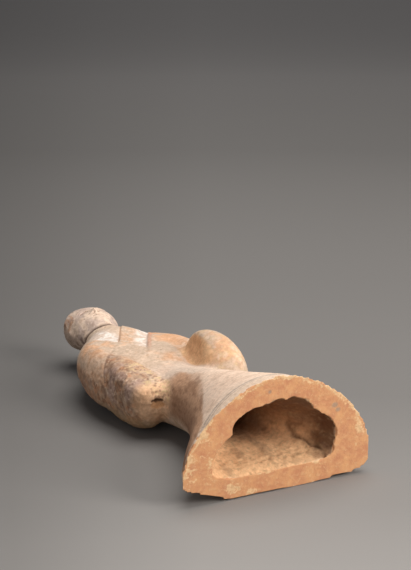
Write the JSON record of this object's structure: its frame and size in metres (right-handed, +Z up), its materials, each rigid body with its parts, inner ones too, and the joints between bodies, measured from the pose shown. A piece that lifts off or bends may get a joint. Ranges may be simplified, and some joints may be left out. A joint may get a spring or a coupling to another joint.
{
  "type": "tomb figure",
  "caption": "Standing terracotta attendant with a calm face, crossed collars, wide hanging sleeves and a flared robe that is hollow under its flat hem.",
  "frame": {"origin": "centre of the figure's box at the plane of the hem's underside", "axes": "+Z up along the figure from hem to head, -Y out of its front, +X towards its left hand"},
  "size_m": [0.2125, 0.1189, 0.4917],
  "materials": {
    "terracotta": "matte fired clay with a worn cream slip, white pigment at the collars and dark burial stains"
  },
  "bodies": {
    "root": {"tomb_figure": "terracotta"}
  },
  "joints": []
}
